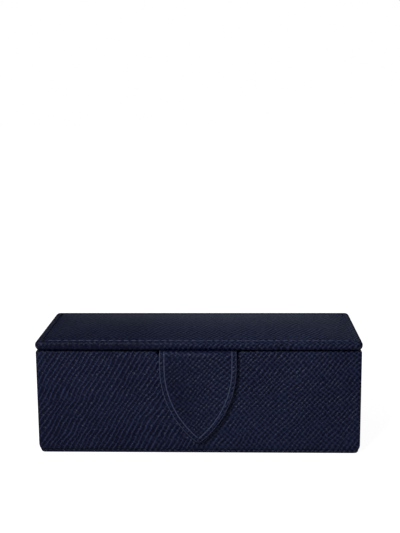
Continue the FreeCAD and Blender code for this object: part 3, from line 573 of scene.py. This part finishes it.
def makeLidCover():
    s = lidSizes
    low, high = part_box("lid_leather")
    top = low.z + s["thick"]
    piece = startBox("lidCover", low, (high.x, high.y, top))
    pick(piece, "EDGE", lambda e: spans(e, 2))
    bevelEdges(s["corner"], 8)
    pick(piece, "EDGE", levelAt(top))
    bevelEdges(s["topRound"], 6)
    pick(piece, "EDGE", levelAt(low.z))
    bevelEdges(s["underRound"], 6)
    pick(piece, "FACE", levelAt(top))
    insetSquare(piece, s["border"] - s["topRound"], high.x - s["border"], low.y + s["border"],
                high.y - s["border"])
    sinkRound(s["lip"], 3)
    pull(z=s["lip"] - s["pocket"])
    pick(piece, "FACE", levelAt(low.z))
    insetSquare(piece, s["turnUnder"] - s["underRound"], high.x - s["turnUnder"], low.y + s["turnUnder"],
                high.y - s["turnUnder"])
    pull(z=s["window"])
    # fine cuts along the front, then the leather is gathered a little at each stitch
    for cuts in s["cuts"]:
        pick(piece, "EDGE", lambda e: spans(e, 0) and middle(e).y < low.y + s["cutIn"]
             and low.z + s["cutUp"] < middle(e).z < top - tiny)
        bpy.ops.mesh.subdivide(number_cuts=cuts)
    work = bmesh.from_edit_mesh(piece.data)
    for v in work.verts:
        if v.co.y < low.y + s["puckerIn"] and abs(v.co.x) < high.x - s["corner"]:
            height = (v.co.z - low.z) / (top - low.z)
            fade = max(0.0, math.sin(math.pi * min(1.0, height * s["fadeReach"]))) ** s["fadePower"]
            wave = math.cos(2 * math.pi * v.co.x / s["puckerPitch"])
            slow, slower = s["unevenWaves"]
            beat = math.sin(v.co.x * slow + 1.3) * math.sin(v.co.x * slower)
            uneven = 1 - s["uneven"] + s["uneven"] * beat
            left = s["puckerLeft"] - s["puckerLess"] * (v.co.x + high.x) / (2 * high.x)
            v.co.y += s["pucker"] * fade * uneven * left * (0.5 - 0.5 * wave)
    bmesh.update_edit_mesh(piece.data)
    faceOut(piece)
    shade(piece, 50)
    piece.data.materials.append(fineCalf)
    place(piece, "lid", "outer_leather", "lid_leather")


def makeLidPillow():
    # the leather over the foam, blown up from a flat sheet held at its edge
    s = lidSizes
    low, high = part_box("lid_leather")
    inset = s["border"] + s["groove"]
    halfX, nearY, farY = high.x - inset, low.y + s["border"] + s["frontGroove"], high.y - inset
    piece = startSheet("lidPillow", (-halfX, nearY, s["padEdge"]), (halfX, farY), *s["pillowCells"])
    rim = lambda p: abs(p.x) > halfX - tiny or p.y < nearY + tiny or p.y > farY - tiny
    puff(piece, rim, s["rise"])
    closeUnder(piece, s["pillowSkirt"])
    pick(piece, "EDGE", lambda e: levelAt(s["padEdge"])(e) and rim(middle(e)))
    bevelEdges(s["padRound"], 3)
    faceOut(piece)
    shade(piece, 60)
    piece.data.materials.append(fineCalf)
    place(piece, "lid", "outer_leather", "lid_leather", "lid_foam")


makeLidCover()
makeLidPillow()
print("lid made")


# ---- stitches: one is modelled, then copied along each seam

threadSizes = {"radius": 0.2 * mm, "lidLength": 2.8 * mm, "lidPitch": 3.7 * mm,
               "tabLength": 2.5 * mm, "tabPitch": 3.4 * mm, "arch": 0.12 * mm, "tabSunk": 0.12 * mm,
               "bends": (-0.3, 0, 0.3), "taperFrom": 0.45, "taper": 0.5,       # shares of a stitch's length
               "cornerGap": 3 * mm, "grooveDepth": 0.72 * mm, "grooveIn": 0.2 * mm,
               "frontOut": 0.6 * mm, "frontHeight": 57.12 * mm}     # at the front the row shows on the border


def makeStitch(length):
    # a short length of thread along X that dives into the leather at both ends
    s = threadSizes
    clearSelection()
    bpy.ops.mesh.primitive_cylinder_add(vertices=6, radius=s["radius"], depth=length,
                                        rotation=(0, math.pi / 2, 0))
    bpy.ops.object.transform_apply(location=True, rotation=True, scale=True)
    piece = nameNew("stitch")
    bpy.ops.object.mode_set(mode="EDIT")
    for share in s["bends"]:
        cutAt(piece, lambda f: True, (share * length, 0, 0), (1, 0, 0))
    pick(piece, "VERT", lambda v: abs(v.co.x) > length * s["taperFrom"])
    bpy.ops.transform.resize(value=(1, s["taper"], s["taper"]), center_override=(0, 0, 0))
    bpy.ops.transform.translate(value=(0, 0, -s["arch"]))
    shade(piece, 60)
    return piece


def makeLidStitches():
    s = threadSizes
    low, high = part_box("lid_stitching")
    one = makeStitch(s["lidLength"])
    quarter = Matrix.Rotation(math.pi / 2, 4, "Z")
    made = []
    floor = high.z - s["grooveDepth"]        # thread lying in the groove
    count = int((2 * high.x - s["cornerGap"]) / s["lidPitch"])
    for y, z in ((high.y - s["grooveIn"], floor), (low.y - s["frontOut"], s["frontHeight"])):
        for i in range(count):
            x = (i - (count - 1) / 2) * s["lidPitch"]
            made.append(copyTo(one, (x, y, z)))
    count = int((high.y - low.y - s["cornerGap"]) / s["lidPitch"])
    for side in (-1, 1):
        for i in range(count):
            y = (low.y + high.y) / 2 + (i - (count - 1) / 2) * s["lidPitch"]
            made.append(copyTo(one, (side * (high.x - s["grooveIn"]), y, floor), quarter))
    bpy.data.objects.remove(one)
    piece = joinAll("lidStitches", made)
    piece.data.materials.append(thread)
    place(piece, "lid", "thread", "lid_stitching")


# ---- tab: one strap from under the lid, over the rim and down the front

tabSizes = {
    "half": 18.8 * mm, "shoulder": 44.0 * mm, "tip": 5.8 * mm,
    "tipRound": 1.3 * mm, "tipSecond": 0.52 * mm,
    "bladeTop": 49.4 * mm, "axis": (0, -31.6 * mm, 50.0 * mm),
    "anyHeight": 60 * mm, "leather": 0.9 * mm, "backing": 1.18 * mm, "backingGap": 0.02 * mm,
    "seamIn": 1.85 * mm, "seamWidth": 0.9 * mm, "seamDepth": 0.4 * mm,
    "arcSteps": 22, "foldSteps": 8, "edge": 0.38 * mm,
}


def tabSheet(name, y, foldEnd, seam):
    # the outline by spinning a point round each arc, filled, then folded in over the rim
    s = tabSizes
    clearSelection()
    drop = s["shoulder"] - s["tip"]
    radius = (s["half"] ** 2 + drop ** 2) / (2 * s["half"])
    bpy.ops.mesh.primitive_plane_add(size=1 * mm, location=(s["half"], y, s["shoulder"]))
    bpy.ops.object.transform_apply(location=True, rotation=True, scale=True)
    piece = nameNew(name)
    bpy.ops.object.mode_set(mode="EDIT")
    bpy.ops.mesh.merge(type="CENTER")
    bpy.ops.mesh.select_mode(type="VERT")
    bpy.ops.mesh.select_all(action="SELECT")
    sweep = math.acos((radius - s["half"]) / radius)
    bpy.ops.mesh.spin(steps=s["arcSteps"], angle=-sweep, axis=(0, 1, 0),
                      center=(s["half"] - radius, y, s["shoulder"]))
    pick(piece, "VERT", lambda v: (v.co - Vector((s["half"], y, s["shoulder"]))).length < tiny)
    pull(z=s["anyHeight"] - s["shoulder"])
    bpy.ops.object.mode_set(mode="OBJECT")
    addModifier(piece, "MIRROR", use_mirror_merge=True, merge_threshold=0.01 * mm)
    choose(piece, "EDIT")
    bpy.ops.mesh.select_all(action="SELECT")
    bpy.ops.mesh.edge_face_add()
    bpy.ops.mesh.normals_make_consistent(inside=False)
    work = bmesh.from_edit_mesh(piece.data)
    work.faces.ensure_lookup_table()
    if work.faces[0].normal.y > 0:       # the show side faces forwards
        bpy.ops.mesh.flip_normals()
    if seam:
        bpy.ops.mesh.inset(thickness=s["seamIn"])
        bpy.ops.mesh.inset(thickness=s["seamWidth"] / 2, depth=-s["seamDepth"])
        bpy.ops.mesh.inset(thickness=s["seamWidth"] / 2, depth=s["seamDepth"])
    # the point is blunted in two cuts, which leave its outline round
    pick(piece, "VERT", lambda v: abs(v.co.x) < tiny and v.co.z < s["tip"] + 0.1 * mm)
    bpy.ops.mesh.bevel(offset=s["tipRound"], segments=1, affect="VERTICES")
    cut = min(v.co.z for v in bmesh.from_edit_mesh(piece.data).verts)
    pick(piece, "VERT", lambda v: v.co.z < cut + tiny)
    bpy.ops.mesh.bevel(offset=s["tipSecond"], segments=1, affect="VERTICES")
    bpy.ops.mesh.select_all(action="SELECT")
    bpy.ops.mesh.bisect(plane_co=(0, 0, s["bladeTop"]), plane_no=(0, 0, 1), clear_outer=True)
    pick(piece, "EDGE", levelAt(s["bladeTop"]))
    bpy.ops.mesh.extrude_edges_move(TRANSFORM_OT_translate={"value": (0, 0, s["axis"][2] - s["bladeTop"])})
    bpy.ops.mesh.spin(steps=s["foldSteps"], angle=math.pi / 2, center=s["axis"], axis=(1, 0, 0))
    bpy.ops.mesh.extrude_edges_move(TRANSFORM_OT_translate={"value": (0, foldEnd - s["axis"][1], 0)})
    bpy.ops.mesh.select_all(action="SELECT")
    bpy.ops.mesh.remove_doubles(threshold=0.002 * mm)
    bpy.ops.object.mode_set(mode="OBJECT")
    return piece


def finishTab(piece, thick, material, slot, *nodes):
    piece.data.materials.append(material)
    piece.data.materials.append(edgePaintAndHighlight)
    # the rims and bevelled edges, the seam's crease among them, take the lighter edge paint: a painted
    # highlight
    addModifier(piece, "SOLIDIFY", thickness=thick, offset=-1, material_offset_rim=1)
    faceOut(piece)
    addModifier(piece, "BEVEL", width=tabSizes["edge"], segments=3, limit_method="ANGLE",
                angle_limit=math.radians(60), material=1, use_clamp_overlap=False)
    shade(piece, 35)
    place(piece, None, slot, *nodes)
    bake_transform(piece)


def makeTab():
    s = tabSizes
    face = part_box("tab_leather")
    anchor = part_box("tab_anchor")
    strap = tabSheet("tabLeather", face[0].y, anchor[1].y, True)
    finishTab(strap, s["leather"], fineCalf, "outer_leather", "tab_leather", "tab_fold", "tab_anchor")
    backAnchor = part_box("tab_anchor_lining")
    backing = tabSheet("tabBacking", face[1].y + s["backingGap"], backAnchor[1].y, False)
    finishTab(backing, s["backing"], backingCalf, "tab_backing", "tab_lining", "tab_anchor_lining")


def makeTabStitches():
    s, t = tabSizes, threadSizes
    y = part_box("tab_leather")[0].y + s["seamDepth"] - t["tabSunk"]
    one = makeStitch(t["tabLength"])
    flat = Matrix.Rotation(math.pi / 2, 4, "X")          # the stitch's arch faces forwards
    drop = s["shoulder"] - s["tip"]
    radius = (s["half"] ** 2 + drop ** 2) / (2 * s["half"])
    centre = radius - s["half"]
    line = radius - s["seamIn"] - s["seamWidth"] / 2
    straight = s["bladeTop"] - s["shoulder"]
    count = int((straight + line * math.acos(centre / line) - t["tabPitch"] / 2) / t["tabPitch"])
    made = []
    for i in range(count):
        along = (i + 0.5) * t["tabPitch"]
        turn = max(0.0, (along - straight) / line)
        x = line * math.cos(turn) - centre
        z = s["shoulder"] + max(0.0, straight - along) - line * math.sin(turn)
        for side in (-1, 1):
            lean = Matrix.Rotation(side * (math.pi / 2 + turn), 4, "Y")
            made.append(copyTo(one, (side * x, y, z), lean @ flat))
    bpy.data.objects.remove(one)
    piece = joinAll("tabStitches", made)
    piece.data.materials.append(thread)
    place(piece, "tab", "thread", "tab_stitching")


makeLidStitches()
makeTab()
makeTabStitches()
print("tab and stitches made")


# ---- inside: suede strip across the hinge

stripSizes = {"thick": 0.4 * mm, "turn": 50.7 * mm, "past": 0.1 * mm, "round": 0.1 * mm}


def makeSuedeHinge():
    # up from the case, back over the hinge, and forward again under the lid
    s = stripSizes
    caseLow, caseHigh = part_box("hinge_lining_case")
    lidLow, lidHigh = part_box("hinge_lining_lid")
    piece = startBox("suedeHinge", caseLow, (caseHigh.x, caseLow.y + s["thick"], s["turn"]))
    pick(piece, "FACE", levelAt(s["turn"]))
    pull(z=s["thick"])
    pick(piece, "FACE", lambda f: middle(f).z > s["turn"] + tiny and f.normal.y > 0.9)
    pull(y=lidHigh.y - caseLow.y - s["thick"] + s["past"])
    pull(y=s["thick"])
    pick(piece, "FACE", lambda f: f.normal.z > 0.9 and middle(f).y > lidHigh.y + s["past"])
    pull(z=s["past"])
    pull(z=s["thick"])
    pick(piece, "FACE", lambda f: f.normal.y < -0.9 and middle(f).z > s["turn"] + s["thick"] + s["past"])
    pull(y=lidLow.y - lidHigh.y - s["past"])
    faceOut(piece)
    addModifier(piece, "BEVEL", width=s["round"], segments=2, limit_method="ANGLE")
    shade(piece)
    piece.data.materials.append(suede)
    place(piece, None, "suede", "hinge_lining_case", "hinge_lining_lid")
    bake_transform(piece)


# ---- inside: suede-covered cards and pads

cardSizes = {"edge": 0.42 * mm, "divider": 1.15 * mm, "end": 0.3 * mm, "slotClear": 0.05 * mm, "past": 1 * mm}


def suedeCard(name, node):
    low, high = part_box(node)
    piece = startBox(name, low, high)
    bpy.ops.mesh.select_all(action="SELECT")
    bevelEdges(cardSizes["edge"], 3)
    faceOut(piece)
    shade(piece)
    piece.data.materials.append(suede)
    place(piece, "case", "suede", node)


def makeDividers():
    # the long divider is slotted from above and the cross divider from below, and they meet half way
    s = cardSizes
    longLow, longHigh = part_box("long_divider")
    crossLow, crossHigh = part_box("cross_divider")
    half = (longLow.z + longHigh.z) / 2
    clear, past = s["slotClear"], s["past"]
    slots = {
        "ringDivider": None,
        "longDivider": ((crossLow.x - clear, longLow.y - past, half),
                        (crossHigh.x + clear, longHigh.y + past, longHigh.z + past)),
        "crossDivider": ((crossLow.x - past, longLow.y - clear, longLow.z - past),
                         (crossHigh.x + past, longHigh.y + clear, half)),
    }
    for name, node in (("ringDivider", "ring_divider"), ("longDivider", "long_divider"),
                       ("crossDivider", "cross_divider")):
        low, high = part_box(node)
        piece = startBox(name, low, high)
        along = 0 if name == "longDivider" else 1
        pick(piece, "EDGE", lambda e: levelAt(high.z)(e) and spans(e, along))
        bevelEdges(s["divider"], 6)
        pick(piece, "EDGE", lambda e: spans(e, 2))
        bevelEdges(s["end"], 2)
        faceOut(piece)
        if slots[name]:
            tool = startBox("slotTool", *slots[name])
            bpy.ops.object.mode_set(mode="OBJECT")
            addModifier(piece, "BOOLEAN", operation="DIFFERENCE", object=tool, solver="EXACT")
            bpy.data.objects.remove(tool)
        shade(piece)
        piece.data.materials.append(suede)
        place(piece, "case", "suede", node)


padSizes = {"clear": 0.15 * mm, "padDrop": 0.25 * mm, "padSkirt": 0.5 * mm, "padCells": (36, 20),
            "padRise": 0.55 * mm,
            "voxel": 1.0 * mm, "shrink": 0.35 * mm, "rollFoot": 0.02 * mm, "rollFlat": 1.2 * mm,
            "rollEnd": 0.8 * mm, "rollHeld": 0.6 * mm, "rollRise": 0.3 * mm,
            "lidDrop": 0.2 * mm, "lidCells": (75, 27), "lidSkirt": 0.48 * mm, "lidRise": 0.9 * mm}


def makeFloorPads():
    # one pad is blown up, then copied into the four compartments
    s = padSizes
    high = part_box("floor_lining")[1]
    divider, cross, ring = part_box("long_divider"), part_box("cross_divider"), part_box("ring_divider")
    lowX, lowY = ring[1].x + s["clear"], divider[1].y + s["clear"]
    highX, highY = cross[0].x - s["clear"], high.y - s["clear"]
    one = startSheet("floorPad1", (lowX, lowY, high.z - s["padDrop"]), (highX, highY), *s["padCells"])
    rim = lambda p: p.x < lowX + tiny or p.x > highX - tiny or p.y < lowY + tiny or p.y > highY - tiny
    puff(one, rim, s["padRise"])
    closeUnder(one, s["padSkirt"])
    faceOut(one)
    shade(one, 60)
    one.data.materials.append(suede)
    stepX = cross[1].x - ring[1].x
    stepY = -(divider[1].y + high.y)
    pads = [one] + [copyTo(one, offset) for offset in ((stepX, 0, 0), (0, stepY, 0), (stepX, stepY, 0))]
    for number, pad in enumerate(pads):
        pad.name = pad.data.name = f"floorPad{number + 1}"
        place(pad, "case", "suede", "floor_lining")


def makeRolls():
    # one roll is remeshed, blown up and smoothed, then copied for the other three
    s = padSizes
    low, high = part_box("ring_roll_1")
    one = startBox("ringRoll1", low + Vector((s["shrink"], s["shrink"], s["rollFoot"])),
                   high - Vector((s["shrink"],) * 3))
    pick(one, "EDGE", lambda e: spans(e, 0) and middle(e).z > high.z - 1 * mm)
    bevelEdges((high.y - low.y) / 2 - s["rollFlat"], 8)
    faceOut(one)
    addModifier(one, "BEVEL", width=s["rollEnd"], segments=3, limit_method="ANGLE")
    addModifier(one, "REMESH", mode="VOXEL", voxel_size=s["voxel"])
    puff(one, lambda p: p.z < low.z + s["rollHeld"], s["rollRise"])
    addModifier(one, "SUBSURF", levels=1, render_levels=1)
    shade(one, 60)
    one.data.materials.append(suede)
    rolls = [one]
    for number in (2, 3, 4):
        rolls.append(copyTo(one, (0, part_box(f"ring_roll_{number}")[0].y - low.y, 0)))
    for number, roll in enumerate(rolls):
        roll.name = roll.data.name = f"ringRoll{number + 1}"
        place(roll, "case", "suede", f"ring_roll_{number + 1}")


def makeLidPad():
    # the suede pad inside the lid, crowned towards the case
    s = padSizes
    low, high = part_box("lid_lining")
    piece = startSheet("lidPad", (low.x, low.y, low.z + s["lidDrop"]), high, *s["lidCells"])
    choose(piece, "EDIT")
    bpy.ops.mesh.flip_normals()
    bpy.ops.object.mode_set(mode="OBJECT")
    rim = lambda p: abs(p.x) > high.x - tiny or abs(p.y) > high.y - tiny
    puff(piece, rim, s["lidRise"])
    closeUnder(piece, -s["lidSkirt"])
    faceOut(piece)
    shade(piece, 60)
    piece.data.materials.append(suede)
    place(piece, "lid", "suede", "lid_lining")


makeSuedeHinge()
for wallName, wallNode in (("frontLining", "front_lining"), ("backLining", "back_lining"),
                           ("leftLining", "left_lining"), ("rightLining", "right_lining")):
    suedeCard(wallName, wallNode)
makeDividers()
makeFloorPads()
makeRolls()
makeLidPad()
print("inside made")


# ---- the CAD pieces that stay as they are

finishes = {
    board: ("base_board", "floor_board", "front_board", "back_board", "left_board", "right_board",
            "lid_board", "lid_lining_card", "lid_infill", "tab_stiffener"),
    foam: ("floor_foam", "ring_riser"),
    nickel: ("case_magnet", "tab_magnet"),
}
for material, names in finishes.items():
    for name in names:
        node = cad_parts[name]
        if not node.material_slots:
            node.data.materials.append(material)
        for slot in node.material_slots:
            slot.material = material


# ---- floor, light and camera

studio = {"floor": "#f4f4f4", "floorBounce": "#cfcfcf", "glow": 0.93,
          # height above the horizon, brightness
          "room": ((0.0, 0.04), (0.3, 0.01), (0.6, 0.05), (1.0, 0.15)),
          "key": {"where": (-0.55, -0.85, 0.95), "target": (0, 0, 0.03), "size": 0.5, "power": 5.8},
          "back": {"where": (0, 0.9, 0.14), "target": (0, 0, 0.06), "size": 0.6, "power": 0.22,
                   "tint": (0.7, 0.82, 1.0)}}
bpy.context.scene.view_settings.view_transform = "Standard"

clearSelection()
bpy.ops.mesh.primitive_plane_add(size=8, location=(0, 0, -0.05 * mm))
floor = nameNew("studioFloor")
bpy.ops.object.mode_set(mode="EDIT")
bpy.ops.mesh.subdivide(number_cuts=3)
bpy.ops.object.mode_set(mode="OBJECT")
floorPaint = bpy.data.materials.new("whiteStudioSweep")
floorPaint.use_nodes = True
tree = floorPaint.node_tree
tree.nodes.clear()
seen = addNode(tree, "LightPath")        # white to the eye, dimmer as a bounce card
matt = addNode(tree, "BsdfDiffuse", None, {"Color": colour(studio["floor"])})
glow = addNode(tree, "Emission", None, {"Strength": studio["glow"]})
lit = addNode(tree, "AddShader", None, {0: matt.outputs[0], 1: glow.outputs[0]})
bounce = addNode(tree, "BsdfDiffuse", None, {"Color": colour(studio["floorBounce"])})
both = addNode(tree, "MixShader", None,
               {0: seen.outputs["Is Camera Ray"], 1: bounce.outputs[0], 2: lit.outputs[0]})
addNode(tree, "OutputMaterial", None, {"Surface": both.outputs[0]})
floor.data.materials.append(floorPaint)

world = bpy.data.worlds.new("softRoom")
bpy.context.scene.world = world
world.use_nodes = True
tree = world.node_tree
tree.nodes.clear()
seen = addNode(tree, "LightPath")
compass = addNode(tree, "TexCoord")
height = addNode(tree, "SeparateXYZ", None, {"Vector": compass.outputs["Generated"]})
roof = addNode(tree, "ValToRGB", None, {"Fac": height.outputs["Z"]})
for i, (at, level) in enumerate(studio["room"]):
    stop = roof.color_ramp.elements[i] if i in (0, 1) else roof.color_ramp.elements.new(at)
    stop.position, stop.color = at, (level, level, level, 1)
power = addNode(tree, "Math", {"operation": "MAXIMUM"}, {0: seen.outputs["Is Camera Ray"], 1: roof.outputs[0]})
sky = addNode(tree, "Background", None, {"Strength": power.outputs[0]})
sky.inputs["Color"].default_value = (1, 1, 1, 1)
addNode(tree, "OutputWorld", None, {"Surface": sky.outputs[0]})


def softbox(name, where, target, size, power, tint=(1, 1, 1)):
    light = bpy.data.lights.new(name, "AREA")
    light.shape, light.size, light.energy, light.color = "DISK", size, power, tint
    lamp = bpy.data.objects.new(name, light)
    bpy.context.scene.collection.objects.link(lamp)
    lamp.location = where
    lamp.rotation_euler = (Vector(target) - Vector(where)).to_track_quat("-Z", "Y").to_euler()
    lamp.visible_camera = False


softbox("keyBox", **studio["key"])
softbox("backBox", **studio["back"])

view = {"place": (0.0172, -0.4934, 0.1794), "down": 10.435, "left": 1.966, "roll": -0.446, "lens": 66.32}
lens = bpy.data.cameras.new("studioCamera")
lens.lens, lens.sensor_width = view["lens"], 36
lens.clip_start, lens.clip_end = 0.01, 20
camera = bpy.data.objects.new("studioCamera", lens)
bpy.context.scene.collection.objects.link(camera)
camera.matrix_world = (Matrix.Translation(view["place"])
                       @ Matrix.Rotation(math.radians(view["left"]), 4, "Z")
                       @ Matrix.Rotation(math.radians(90 - view["down"]), 4, "X")
                       @ Matrix.Rotation(math.radians(view["roll"]), 4, "Z"))
bpy.context.scene.camera = camera
clearSelection()
print("studio set")
